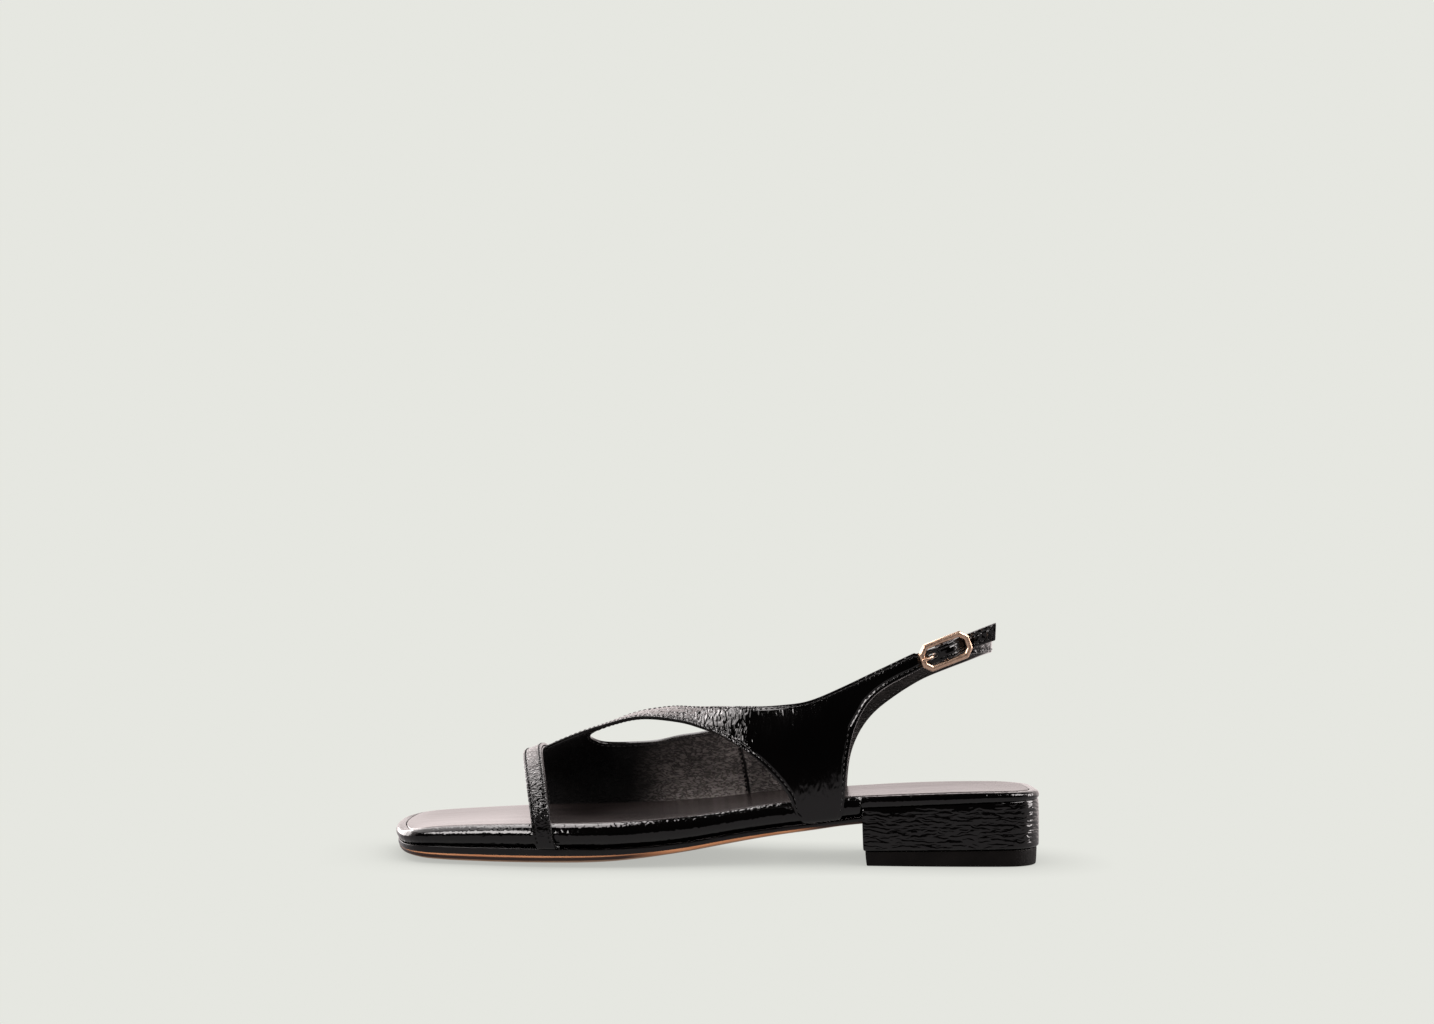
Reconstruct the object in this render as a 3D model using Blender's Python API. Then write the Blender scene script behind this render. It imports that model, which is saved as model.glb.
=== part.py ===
"""Flat slingback sandal, left shoe, standing on its sole.

Toe at -X, heel at +X, outer (lateral) side at -Y, +Z up. The tables are in millimetres and
each mesh is written in metres. The upper is one wall cut from a foot-form surface.
"""

import math
from collections import namedtuple

import bmesh
import bpy
import numpy as np
from mathutils import Matrix, Vector
from mathutils.geometry import delaunay_2d_cdt

MM = 0.001
GAP = 0.3

# Sole: its two ends and their plan corners
TOE_X = -123.0
HEEL_X = 125.5
TOE_RADIUS = 13.0
HEEL_RADIUS = 17.0
TOE_SKEW = -0.13
TOE_SKEW_END = -68.0
TOE_BOW = 1.6

# Heel block and its lift
BREAST_X = 57.3
BREAST_SKEW = 0.07
BREAST_REACH = 18.0
BREAST_RAKE = 1.2
SEAT_FRONT = 21.4
SEAT_BACK = 25.0
LIFT_FRONT = 5.4
LIFT_BACK = 6.6
LIFT_INSET = 1.0
FRONT_REACH = 4.0
HEEL_COLUMNS = (-1, -0.5, 0, 0.5, 1)

# Outsole and sock
OUTSOLE_INSET = 0.5
FLAT_SHARE = 0.5
SOCK_INSET = 4.2
SOCK_RECESS = 1.1
SOCK_DISH = 1.0
SOCK_EDGE = 0.5
BED_COLUMNS = (-1, -0.6, -0.2, 0.2, 0.6, 1)
BALL_FLAT = (-85.0, -50.0)
BED_STEP = (-0.35, 0.1)
SOLE_END_REACH = 5.0

# Upper wall and the band sewn over its front strap
WALL = 1.6
BAND_WALL = 1.1
ARCH_SHARE = 0.8
WALL_LEVELS = (0.5, 0.25, 0.15)
BAND_FOOT = 0.94
ARCH_POWER = 2.3
PATTERN_WIDTH = 75.0
PATTERN_STEP = 4.6
BAND_FRONT = -73.9
BAND_REAR = -66.9
BAND_SWEEP = 10.0
BAND_SWEEP_MEDIAL = 6.5
BAND_ROUND = 0.09
BAND_COVER = 0.7
STRAP_START = 75.0
FINE_STEP = 3.6
STRIP_SPLITS = (0.0, 0.35, 0.65, 1.0)

# Buckle: a ring with cut corners, its dropped centre bar and its prong
BUCKLE_ALONG = 12.4
BUCKLE_TILT = math.radians(21)
BUCKLE_TURN = math.radians(12.5)
FRAME_LENGTH = 18.9
FRAME_WIDTH = 8.7
FRAME_CUT = 2.3
FRAME_BAR = 1.2
FRAME_DEPTH = 0.9
BAR_RADIUS = 0.8
PRONG_RADIUS = 0.6
TIP_ALONG = 21.6
STRAP_HALF = 2.9
TIP_HALF = 3.2
SLING_HALF = 3.1
LOOP_RETURN = 4.0
LOOP_RADIUS = BAR_RADIUS + GAP + WALL
STRAP_UNDER = -(FRAME_DEPTH + GAP + WALL)
BAR_DROP = -(LOOP_RADIUS + 0.2)
HOLE = (-6.2, -3.3)
STRAP_STATIONS = (-7.6, *HOLE, -1.7, 0.0, 1.7, 3.4, 5.2, 7.0, 8.6)
STRAP_DIP = 1.1
STRAP_BOW = 0.2
TIP_FLARE = 0.018

# Stations of the sole. lateral and medial: half widths. top: the footbed's edge, rim: the foot
# of its padded rim, edge and keel: the outsole's underside at its edge and along its middle.
Sole = namedtuple("Sole", "x lateral medial top rim edge keel")
SOLE = [
    Sole(-126, 32.0, 33.0, 10.6, 6.7, 3.0, 2.4),
    Sole(-118, 33.5, 34.0, 12.4, 6.8, 2.2, 1.4),
    Sole(-109, 35.0, 34.8, 13.5, 6.9, 1.6, 0.6),
    Sole(-98, 37.0, 35.6, 14.3, 6.9, 1.4, 0.1),
    Sole(-85, 39.6, 37.0, 15.1, 7.1, 1.4, 0.0),
    Sole(-68, 42.4, 39.4, 15.8, 7.2, 1.6, 0.0),
    Sole(-50, 43.4, 41.0, 16.2, 7.2, 2.0, 0.0),
    Sole(-38, 42.9, 40.6, 16.5, 7.4, 2.5, 0.6),
    Sole(-25, 41.0, 39.0, 17.3, 8.0, 3.7, 2.2),
    Sole(-9, 37.4, 35.6, 18.7, 9.6, 5.9, 4.4),
    Sole(5, 34.0, 32.0, 20.4, 12.0, 8.4, 7.0),
    Sole(24, 30.6, 28.6, 23.4, 14.5, 11.6, 10.4),
    Sole(40, 28.8, 26.9, 24.8, 16.4, 13.7, 12.6),
    Sole(56, 27.8, 26.9, 26.0, 18.4, 15.8, 15.0),
    Sole(78, 28.2, 28.0, 27.3, 20.0, 17.0, 16.0),
    Sole(104, 27.0, 27.6, 28.2, 21.0, 18.0, 17.0),
    Sole(126, 26.4, 27.0, 28.4, 22.0, 19.0, 18.0),
]

# The rim's rounded side: level as a share of its height, inset as a share of that height.
Rim = namedtuple("Rim", "level inset")
RIM = [
    Rim(0.0, 0.30),
    Rim(0.25, 0.075),
    Rim(0.5, 0.0),
    Rim(0.72, 0.05),
    Rim(0.9, 0.17),
    Rim(1.0, 0.38),
]

# Side of the outsole, a share of its height up: an upright strip over a fine step and a rounded
# lower edge. Side of the heel cover, in millimetres from its upper edge or its lower edge.
Side = namedtuple("Side", "inset level")
SOLE_SIDE = [
    Side(2.2, 0.0),
    Side(1.1, 0.14),
    Side(0.75, 0.34),
    Side(0.75, 0.5),
    Side(0.45, 0.56),
    Side(0.45, 1.0),
]
HEEL_FOOT = [Side(0.5, GAP), Side(0.0, 0.9)]
HEEL_HEAD = [Side(0.15, -1.4), Side(0.55, -GAP)]
LIFT_FOOT = [Side(LIFT_INSET + 0.3, 0.0), Side(LIFT_INSET, 0.5)]
LIFT_HEAD = Side(LIFT_INSET - 0.2, 0.0)

# The foot form above the sole: height of its crest over the wall, and the crest's side shift.
Form = namedtuple("Form", "x crest shift")
FORM = [
    Form(-80, 36.6, 4.0),
    Form(-68, 41.4, 4.5),
    Form(-55, 46.8, 5.0),
    Form(-43, 51.2, 5.0),
    Form(-29, 56.2, 4.5),
    Form(-17, 58.3, 4.0),
    Form(-7, 59.2, 3.0),
    Form(4, 62.4, 2.0),
    Form(16, 69.6, 1.0),
    Form(30, 82.0, 0.5),
    Form(48, 101.0, 0.0),
    Form(75, 126.0, 0.0),
]

# Edges of the upper, read upwards or backwards along the shoe: place along it and height.
Edge = namedtuple("Edge", "x z")
QUARTER_FRONT = [
    Edge(31.7, 18.6),
    Edge(28.3, 25.8),
    Edge(24.5, 31.0),
    Edge(18.7, 37.1),
    Edge(9.6, 44.0),
    Edge(0.0, 49.0),
    Edge(-10.7, 52.2),
    Edge(-18.2, 53.2),
]
QUARTER_REAR = [
    Edge(49.0, 28.0),
    Edge(49.8, 39.5),
    Edge(51.9, 51.9),
    Edge(57.2, 61.4),
    Edge(65.0, 68.0),
]
TOPLINE_LATERAL = [
    Edge(-5.0, 57.3),
    Edge(6.0, 58.2),
    Edge(15.0, 58.9),
    Edge(24.0, 59.8),
    Edge(34.5, 61.6),
    Edge(46.6, 66.8),
    Edge(62.5, 74.6),
]
TOPLINE_MEDIAL = [
    Edge(-48.6, 42.4),
    Edge(-46.0, 41.2),
    Edge(-36.0, 41.1),
    Edge(-24.4, 42.0),
    Edge(-12.8, 44.9),
    Edge(4.0, 48.4),
    Edge(24.0, 52.8),
    Edge(40.0, 57.6),
    Edge(58.0, 64.6),
]
SLING_REAR = [
    Edge(53.6, 28.0),
    Edge(54.4, 38.5),
    Edge(58.4, 48.4),
    Edge(64.1, 55.6),
]
STRAP_ENDS = (73.4, 80.8)
SLING_ENDS = (63.8, 72.6)

# Edges that cross the crest: place along the shoe and offset from the crest.
Cross = namedtuple("Cross", "x y")
VAMP_EDGE = [
    Cross(-27.0, -15.5),
    Cross(-35.5, -10.0),
    Cross(-43.0, -4.0),
    Cross(-50.0, 1.0),
    Cross(-57.0, 4.0),
]
STRAP_REAR = [
    Cross(-50.2, 17.0),
    Cross(-48.2, 11.0),
    Cross(-39.0, 7.5),
    Cross(-27.0, 3.5),
    Cross(-16.0, -1.0),
]
FEET_LATERAL = (33.7, 47.2)
FOOT_MEDIAL = 53.0

# The sling round the back of the heel, its inner face: plan place and its two edges' heights.
Sling = namedtuple("Sling", "x y low high")
SLING = [
    Sling(83.0, 25.4, 68.9, 77.3),
    Sling(91.0, 22.8, 72.7, 81.0),
    Sling(99.0, 17.2, 76.4, 84.6),
    Sling(104.0, 9.6, 79.2, 87.3),
    Sling(106.2, 0.6, 80.6, 88.6),
    Sling(104.2, -8.2, 80.8, 88.5),
    Sling(99.0, -14.2, 80.6, 87.8),
    Sling(93.0, -17.4, 80.0, 86.8),
]

# The prong's bends in the buckle's own axes: place along the strap and out from the foot.
Bend = namedtuple("Bend", "s n")
PRONG_REST = FRAME_DEPTH + GAP + PRONG_RADIUS
PRONG = [
    Bend(-3.75, BAR_DROP - 0.2),
    Bend(-4.5, -1.7),
    Bend(-5.3, 0.3),
    Bend(-6.7, PRONG_REST - 0.25),
    Bend(-FRAME_LENGTH / 2, PRONG_REST),
    Bend(-FRAME_LENGTH / 2 - 1.2, PRONG_REST - 0.1),
]

MATERIALS = {
    "patent_black": ((0.012, 0.011, 0.011), 0.16, 0.0),
    "sock_black": ((0.022, 0.018, 0.018), 0.28, 0.0),
    "sole_tan": ((0.42, 0.19, 0.09), 0.55, 0.0),
    "lift_black": ((0.018, 0.018, 0.018), 0.6, 0.0),
    "rose_metal": ((0.72, 0.48, 0.33), 0.22, 1.0),
}


class Profile:
    """A table column as a monotone cubic along the table's first column."""

    def __init__(self, rows, column):
        self.xs = np.array([row[0] for row in rows], float)
        self.ys = np.array([getattr(row, column) for row in rows], float)
        spans = np.diff(self.xs)
        rises = np.diff(self.ys) / spans
        self.slopes = np.concatenate([rises[:1], np.zeros(len(rows) - 2), rises[-1:]])
        for i in range(1, len(rows) - 1):
            if rises[i - 1] * rises[i] > 0:
                before = 2 * spans[i] + spans[i - 1]
                after = spans[i] + 2 * spans[i - 1]
                self.slopes[i] = (before + after) / (before / rises[i - 1] + after / rises[i])

    def __call__(self, x):
        i = int(np.clip(np.searchsorted(self.xs, x) - 1, 0, len(self.xs) - 2))
        span = self.xs[i + 1] - self.xs[i]
        u = min(max((x - self.xs[i]) / span, 0.0), 1.0)
        ease = u * u * (3 - 2 * u)
        start = u * (1 - u) ** 2 * span * self.slopes[i]
        end = u * u * (u - 1) * span * self.slopes[i + 1]
        return float(self.ys[i] * (1 - ease) + self.ys[i + 1] * ease + start + end)


LATERAL = Profile(SOLE, "lateral")
MEDIAL = Profile(SOLE, "medial")
BED_TOP = Profile(SOLE, "top")
RIM_FOOT = Profile(SOLE, "rim")
SOLE_EDGE = Profile(SOLE, "edge")
SOLE_KEEL = Profile(SOLE, "keel")
CREST = Profile(FORM, "crest")
CREST_SHIFT = Profile(FORM, "shift")


# Plan of the sole

def half_width(x, side):
    """Half width of the footbed at a station, with the toe's corners and the heel rounded."""
    width = LATERAL(x) if side < 0 else MEDIAL(x)
    for along, radius in ((x - TOE_X, TOE_RADIUS), (HEEL_X - x, HEEL_RADIUS)):
        if along < radius:
            width -= radius - math.sqrt(max(radius**2 - (radius - along) ** 2, 0.0))
    return width


def plan_point(x, v):
    """Plan place of a station at v from -1, the lateral edge, to 1, the medial edge."""
    y = v * half_width(x, v)
    lean = max(0.0, (TOE_SKEW_END - x) / (TOE_SKEW_END - TOE_X))
    bow = TOE_BOW * max(0.0, 1 - (x - TOE_X) / TOE_RADIUS) * (1 - v * v)
    slant = BREAST_SKEW * max(0.0, 1 - abs(x - BREAST_X) / BREAST_REACH)
    return x - bow + (TOE_SKEW * lean**2 + slant) * y, y


def toe_stations():
    return [TOE_X + TOE_RADIUS * (1 - math.cos(math.radians(turn))) for turn in (0, 25, 48, 68)]


def heel_stations():
    return [HEEL_X - HEEL_RADIUS * (1 - math.cos(math.radians(turn))) for turn in (75, 58, 42, 27, 13, 0)]


def run(first, last, count):
    """Even stations from first up to, and without, last."""
    return list(np.linspace(first, last, count, endpoint=False))


def forepart_stations(last):
    """Stations from the toe to the breast, with one at each end of the ball's flat spot."""
    front = run(TOE_X + TOE_RADIUS, BALL_FLAT[0], 3)
    return toe_stations() + front + run(*BALL_FLAT, 4) + run(BALL_FLAT[1], last, 12) + [last]


def seat_stations(first):
    return run(first, HEEL_X - HEEL_RADIUS, 5) + heel_stations()


def offset_loop(loop, insets):
    """A closed plan loop moved inwards by an inset at each point."""
    loop = np.asarray(loop, float)
    edges = np.roll(loop, -1, axis=0) - loop
    edges /= np.linalg.norm(edges, axis=1)[:, None]
    area = np.sum(loop[:, 0] * np.roll(loop[:, 1], -1) - loop[:, 1] * np.roll(loop[:, 0], -1))
    inward = np.stack([-edges[:, 1], edges[:, 0]], axis=1) * np.sign(area)
    mitre = inward + np.roll(inward, 1, axis=0)
    mitre /= np.maximum(np.sum(mitre * inward, axis=1), 0.5)[:, None]
    return loop + mitre * np.asarray(insets)[:, None]


# Meshes and objects

def material(name):
    colour, roughness, metallic = MATERIALS[name]
    made = bpy.data.materials.get(name) or bpy.data.materials.new(name)
    made.use_nodes = True
    made.diffuse_color = (*colour, 1.0)
    shader = made.node_tree.nodes["Principled BSDF"]
    shader.inputs["Base Color"].default_value = (*colour, 1.0)
    shader.inputs["Roughness"].default_value = roughness
    shader.inputs["Metallic"].default_value = metallic
    return made


def add_object(name, points, faces, finish, closed=True):
    """A mesh object from points in millimetres. A closed one gets its faces turned outwards."""
    mesh = bpy.data.meshes.new(name)
    mesh.from_pydata([Vector(point) * MM for point in points], [], faces)
    shape = bmesh.new()
    shape.from_mesh(mesh)
    bmesh.ops.remove_doubles(shape, verts=shape.verts, dist=0.001 * MM)
    if closed:
        bmesh.ops.recalc_face_normals(shape, faces=shape.faces)
        if shape.calc_volume(signed=True) < 0:
            bmesh.ops.reverse_faces(shape, faces=shape.faces)
    shape.to_mesh(mesh)
    shape.free()
    mesh.shade_smooth()
    mesh.set_sharp_from_angle(angle=math.radians(40))
    mesh.materials.append(material(finish))
    obj = bpy.data.objects.new(name, mesh)
    bpy.context.scene.collection.objects.link(obj)
    return obj


def slab(name, stations, rings, columns, finish, rise=None, sink=None):
    """A closed solid on the sole's plan. rings run from its underside to its top as (inset, height)
    functions of the station. rise and sink give the top's and the underside's height inside."""
    last, side = len(stations) - 1, len(columns) - 1
    cells = [(i, 0) for i in range(last + 1)]
    cells += [(last, j) for j in range(1, side)]
    cells += [(i, side) for i in range(last, -1, -1)]
    cells += [(0, j) for j in range(side - 1, 0, -1)]
    loop = [plan_point(stations[i], columns[j]) for i, j in cells]
    around = len(cells)
    points, faces, caps = [], [], []
    for inset, height in rings:
        moved = offset_loop(loop, [inset(stations[i]) for i, _ in cells])
        points += [(x, y, height(stations[i])) for (x, y), (i, _) in zip(moved, cells)]
    for ring in range(len(rings) - 1):
        for k in range(around):
            near, far = ring * around + k, ring * around + (k + 1) % around
            faces.append((near, far, far + around, near + around))
    for start, inside in ((0, sink), ((len(rings) - 1) * around, rise)):
        index = {cell: start + k for k, cell in enumerate(cells)}
        for i in range(1, last):
            low, high = np.array(points[index[i, 0]]), np.array(points[index[i, side]])
            for j in range(1, side):
                share = (columns[j] + 1) / 2
                x, y, z = low * (1 - share) + high * share
                index[i, j] = len(points)
                points.append((x, y, inside(stations[i], columns[j]) if inside else z))
        caps += [
            (index[i, j], index[i + 1, j], index[i + 1, j + 1], index[i, j + 1])
            for i in range(last)
            for j in range(side)
        ]
    return add_object(name, points, faces + caps, finish)


# Sole pieces

def seat_height(x):
    """The heel cover's upper edge, where the footbed rests on it."""
    share = (x - BREAST_X) / (HEEL_X - BREAST_X)
    return SEAT_FRONT + (SEAT_BACK - SEAT_FRONT) * share


def bed_foot(x):
    return RIM_FOOT(x) if x < BREAST_X else seat_height(x)


def rim_height(x):
    return BED_TOP(x) - bed_foot(x)


def rim_ring(row):
    return (
        lambda x: row.inset * rim_height(x),
        lambda x: bed_foot(x) + row.level * rim_height(x),
    )


def sock_dip(x, v):
    return SOCK_DISH * (1 - v * v) * min(1.0, (x - TOE_X) / TOE_RADIUS, (HEEL_X - x) / HEEL_RADIUS)


def make_footbed():
    stations = forepart_stations(BREAST_X + BED_STEP[0]) + seat_stations(BREAST_X + BED_STEP[1])
    rings = [rim_ring(row) for row in RIM]
    rings.append((lambda x: SOCK_INSET - GAP, lambda x: BED_TOP(x)))
    rings.append((lambda x: SOCK_INSET - GAP, lambda x: BED_TOP(x) - SOCK_RECESS))
    return slab(
        "footbed", stations, rings, BED_COLUMNS, "patent_black",
        rise=lambda x, v: BED_TOP(x) - SOCK_RECESS - sock_dip(x, v),
    )


def make_insole():
    stations = forepart_stations(BREAST_X) + seat_stations(BREAST_X)[1:]
    under = SOCK_RECESS - GAP
    rings = [
        (lambda x: SOCK_INSET, lambda x: BED_TOP(x) - under),
        (lambda x: SOCK_INSET, lambda x: BED_TOP(x)),
        (lambda x: SOCK_INSET + SOCK_EDGE, lambda x: BED_TOP(x) + GAP),
    ]
    return slab(
        "insole", stations, rings, BED_COLUMNS, "sock_black",
        rise=lambda x, v: BED_TOP(x) + GAP - sock_dip(x, v),
        sink=lambda x, v: BED_TOP(x) - under - sock_dip(x, v),
    )


def square_end(obj):
    """Sets the sole's rear end upright, a gap in front of the heel's straight front."""
    top = SEAT_FRONT * MM
    for vertex in obj.data.vertices:
        slant = BREAST_SKEW * vertex.co.y
        if vertex.co.x - slant > (BREAST_X - SOLE_END_REACH) * MM:
            rake = BREAST_RAKE * MM * (top - vertex.co.z) / top
            vertex.co.x = (BREAST_X - GAP) * MM + slant + rake
    return obj


def make_outsole():
    """Leather sole up to the heel breast, with its flat spot under the ball."""
    stations = forepart_stations(BREAST_X)

    def ring(row):
        return (
            lambda x: OUTSOLE_INSET + row.inset,
            lambda x: SOLE_EDGE(x) + row.level * (RIM_FOOT(x) - GAP - SOLE_EDGE(x)),
        )

    rings = [ring(row) for row in SOLE_SIDE]
    columns = (-1, -0.75, -FLAT_SHARE, 0, FLAT_SHARE, 0.75, 1)

    def underside(x, v):
        lift = max(0.0, (abs(v) - FLAT_SHARE) / (1 - FLAT_SHARE))
        return SOLE_KEEL(x) + (SOLE_EDGE(x) - SOLE_KEEL(x)) * lift**2

    return square_end(slab("outsole", stations, rings, columns, "sole_tan", sink=underside))


def lift_height(x):
    share = (x - BREAST_X) / (HEEL_X - BREAST_X)
    return LIFT_FRONT + (LIFT_BACK - LIFT_FRONT) * share


def ring_over(row, base):
    """A slab's ring at a side row's inset, its level above a height that runs along the shoe."""
    return lambda x: row.inset, lambda x: base(x) + row.level


def rake_front(obj):
    """Leans the straight front of a heel piece back towards the floor."""
    reach = (BREAST_X + FRONT_REACH) * MM
    top = SEAT_FRONT * MM
    for vertex in obj.data.vertices:
        if vertex.co.x < reach:
            vertex.co.x += BREAST_RAKE * MM * (top - vertex.co.z) / top
    return obj


def make_heel():
    rings = [ring_over(row, lift_height) for row in HEEL_FOOT]
    rings += [ring_over(row, seat_height) for row in HEEL_HEAD]
    return rake_front(slab("heel", seat_stations(BREAST_X), rings, HEEL_COLUMNS, "patent_black"))


def make_top_lift():
    rings = [ring_over(row, lambda x: 0.0) for row in LIFT_FOOT]
    rings.append(ring_over(LIFT_HEAD, lift_height))
    return rake_front(slab("top_lift", seat_stations(BREAST_X), rings, HEEL_COLUMNS, "lift_black"))


# The upper's surface

def rim_inset(level):
    levels = [row.level for row in RIM]
    insets = [row.inset for row in RIM]
    return float(np.interp(level, levels, insets))


def rim_widest(x):
    return RIM_FOOT(x) + WALL_LEVELS[0] * (BED_TOP(x) - RIM_FOOT(x))


def turned_in():
    """t of the rows where the wall turns in under the rim, down to its foot."""
    return np.linspace(ARCH_SHARE, 1.0, len(WALL_LEVELS))


def wall_point(x, t):
    """Inner face of the wall: t runs from -1 at the lateral sole, over the crest at 0, to 1 at the
    medial sole. Past ARCH_SHARE the wall turns in under the footbed's rim."""
    side = -1 if t < 0 else 1
    reach = half_width(x, side) + GAP
    power = 2 / ARCH_POWER
    if abs(t) <= ARCH_SHARE:
        turn = abs(t) / ARCH_SHARE * math.pi / 2
        shift = CREST_SHIFT(x)
        y = shift + (side * reach - shift) * math.sin(turn) ** power
        z = rim_widest(x) + (CREST(x) - WALL - rim_widest(x)) * max(math.cos(turn), 0.0) ** power
        return np.array((x, y, z))
    height = BED_TOP(x) - RIM_FOOT(x)
    level = float(np.interp(abs(t), turned_in(), WALL_LEVELS))
    return np.array((x, side * (reach - rim_inset(level) * height), RIM_FOOT(x) + level * height))


def wall_normal(x, t):
    """Outward direction of the wall's inner face."""
    step = 0.01
    along = wall_point(x + 0.5, t) - wall_point(x - 0.5, t)
    across = wall_point(x, min(t + step, 1.0)) - wall_point(x, max(t - step, -1.0))
    normal = np.cross(along, across)
    return normal / np.linalg.norm(normal)


def at_height(x, z, side):
    """t of the wall at a height on one side."""
    widest = rim_widest(x)
    if z < widest:
        level = (z - RIM_FOOT(x)) / (BED_TOP(x) - RIM_FOOT(x))
        return side * float(np.interp(-level, [-row for row in WALL_LEVELS], turned_in()))
    share = min((z - widest) / (CREST(x) - WALL - widest), 1.0)
    return side * math.acos(share ** (ARCH_POWER / 2)) / (math.pi / 2) * ARCH_SHARE


def at_offset(x, y):
    """t of the wall at a sideways offset from the crest."""
    side = -1 if y < 0 else 1
    reach = side * (half_width(x, side) + GAP) - CREST_SHIFT(x)
    turn = math.asin(min(y / reach, 1.0) ** (ARCH_POWER / 2))
    return side * turn / (math.pi / 2) * ARCH_SHARE


def edge_line(rows, side):
    return [(row.x, at_height(row.x, row.z, side)) for row in rows]


def cross_line(rows):
    return [(row.x, at_offset(row.x, row.y)) for row in rows]


def band_line(crest_x, start, end, count):
    """An edge of the front strap: swept back on both sides of its rounded crest, less on the medial."""
    line = []
    for t in np.linspace(start, end, count):
        sweep = BAND_SWEEP if t < 0 else BAND_SWEEP_MEDIAL
        line.append((crest_x + sweep * (math.hypot(t, BAND_ROUND) - BAND_ROUND), t))
    return line


def resampled(line, step):
    """A smooth line through pattern points, with points about a step apart."""
    knots = np.array(line) * (1, PATTERN_WIDTH)
    padded = np.vstack([2 * knots[0] - knots[1], knots, 2 * knots[-1] - knots[-2]])
    out = []
    for before, start, end, after in zip(padded, padded[1:], padded[2:], padded[3:]):
        span = np.linalg.norm(end - start)
        leave = (end - before) / (np.linalg.norm(start - before) + span) * span
        arrive = (after - start) / (np.linalg.norm(after - end) + span) * span
        for u in np.linspace(0, 1, max(1, round(span / step)), endpoint=False):
            ease = u * u * (3 - 2 * u)
            out.append(
                start * (1 - ease) + end * ease + leave * u * (1 - u) ** 2 - arrive * u * u * (1 - u)
            )
    return out + [knots[-1]]


def strip_end(heights, side):
    """Pattern points across a strap's root, from its lower to its upper edge."""
    low, high = (at_height(STRAP_START, z, side) for z in heights)
    return [(STRAP_START, low + (high - low) * share) for share in STRIP_SPLITS]


def upper_outline():
    """The closed edge of the upper's pattern, from the front strap's lateral foot round the shoe."""
    front = BAND_FRONT + BAND_COVER
    sling_end = strip_end(SLING_ENDS, 1)
    strap_end = strip_end(STRAP_ENDS, -1)
    rear_foot = BAND_REAR + BAND_SWEEP
    medial_foot = band_line(front, 1, 1, 1) + [(FOOT_MEDIAL, 1)]
    vamp_front = band_line(BAND_REAR, -1, 0.08, 12)
    pieces = [
        (band_line(front, -1, 1, 19), PATTERN_STEP),
        (medial_foot, PATTERN_STEP),
        (medial_foot[-1:] + edge_line(SLING_REAR, 1) + sling_end[:1], PATTERN_STEP),
        (sling_end, PATTERN_WIDTH),
        (sling_end[-1:] + edge_line(TOPLINE_MEDIAL, 1)[::-1] + cross_line(STRAP_REAR)
         + edge_line(TOPLINE_LATERAL, -1) + strap_end[-1:], FINE_STEP),
        (strap_end[::-1], PATTERN_WIDTH),
        (strap_end[:1] + edge_line(QUARTER_REAR, -1)[::-1] + [(FEET_LATERAL[1], -1)], PATTERN_STEP),
        ([(FEET_LATERAL[1], -1), (FEET_LATERAL[0], -1)], PATTERN_STEP),
        ([(FEET_LATERAL[0], -1)] + edge_line(QUARTER_FRONT, -1) + cross_line(VAMP_EDGE)
         + vamp_front[-1:], FINE_STEP),
        (vamp_front[::-1], PATTERN_STEP),
        ([(rear_foot, -1), band_line(front, -1, -1, 1)[0]], PATTERN_STEP),
    ]
    outline = []
    for line, step in pieces:
        outline += resampled(line, step)[:-1]
    return np.array(outline)


def inside(point, outline, clear):
    """Whether a pattern point lies inside a closed outline, clear of it."""
    start, end = outline, np.roll(outline, -1, axis=0)
    span = end - start
    share = np.clip(np.sum((point - start) * span, axis=1) / np.sum(span**2, axis=1), 0, 1)
    if np.min(np.linalg.norm(start + span * share[:, None] - point, axis=1)) < clear:
        return False
    crosses = (start[:, 1] > point[1]) != (end[:, 1] > point[1])
    rise = np.where(crosses, span[:, 1], 1.0)
    return np.sum(crosses & (point[0] < start[:, 0] + (point[1] - start[:, 1]) / rise * span[:, 0])) % 2


def pattern_mesh(outline):
    """Triangles of a pattern piece, with rows of points where the wall turns in under the rim."""
    low, high = outline.min(axis=0), outline.max(axis=0)
    rows = [PATTERN_WIDTH * side * t for side in (-1, 1) for t in turned_in()[:-1]]
    limit = PATTERN_WIDTH * ARCH_SHARE - PATTERN_STEP
    rows += list(np.arange(-limit, limit, PATTERN_STEP))
    points = list(outline)
    for row, across in enumerate(rows):
        stagger = PATTERN_STEP / 2 * (row % 2)
        for along in np.arange(low[0] + stagger, high[0], PATTERN_STEP):
            if inside(np.array((along, across)), outline, PATTERN_STEP * 0.42):
                points.append((along, across))
    edges = [(i, (i + 1) % len(outline)) for i in range(len(outline))]
    made = delaunay_2d_cdt([Vector(point) for point in points], edges, [], 1, 1e-5)
    return [(point[0], point[1] / PATTERN_WIDTH) for point in made[0]], [tuple(face) for face in made[2]]


# Straps past the quarter, and the buckle's place

def buckle_axes():
    """Along the strap, up across it, and out from the foot."""
    along = np.array((
        math.cos(BUCKLE_TURN) * math.cos(BUCKLE_TILT),
        math.sin(BUCKLE_TURN) * math.cos(BUCKLE_TILT),
        math.sin(BUCKLE_TILT),
    ))
    out = np.array((math.sin(BUCKLE_TURN), -math.cos(BUCKLE_TURN), 0.0))
    return along, np.cross(out, along), out


def buckle_centre():
    along, _, out = buckle_axes()
    root = np.mean([wall_point(*place) for place in strip_end(STRAP_ENDS, -1)], axis=0)
    return root + along * BUCKLE_ALONG - out * STRAP_UNDER


def at_buckle(s, w, n):
    """A point from the buckle's centre: s along the strap, w up across it, n out from the foot."""
    along, across, out = buckle_axes()
    return buckle_centre() + along * s + across * w + out * n


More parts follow.
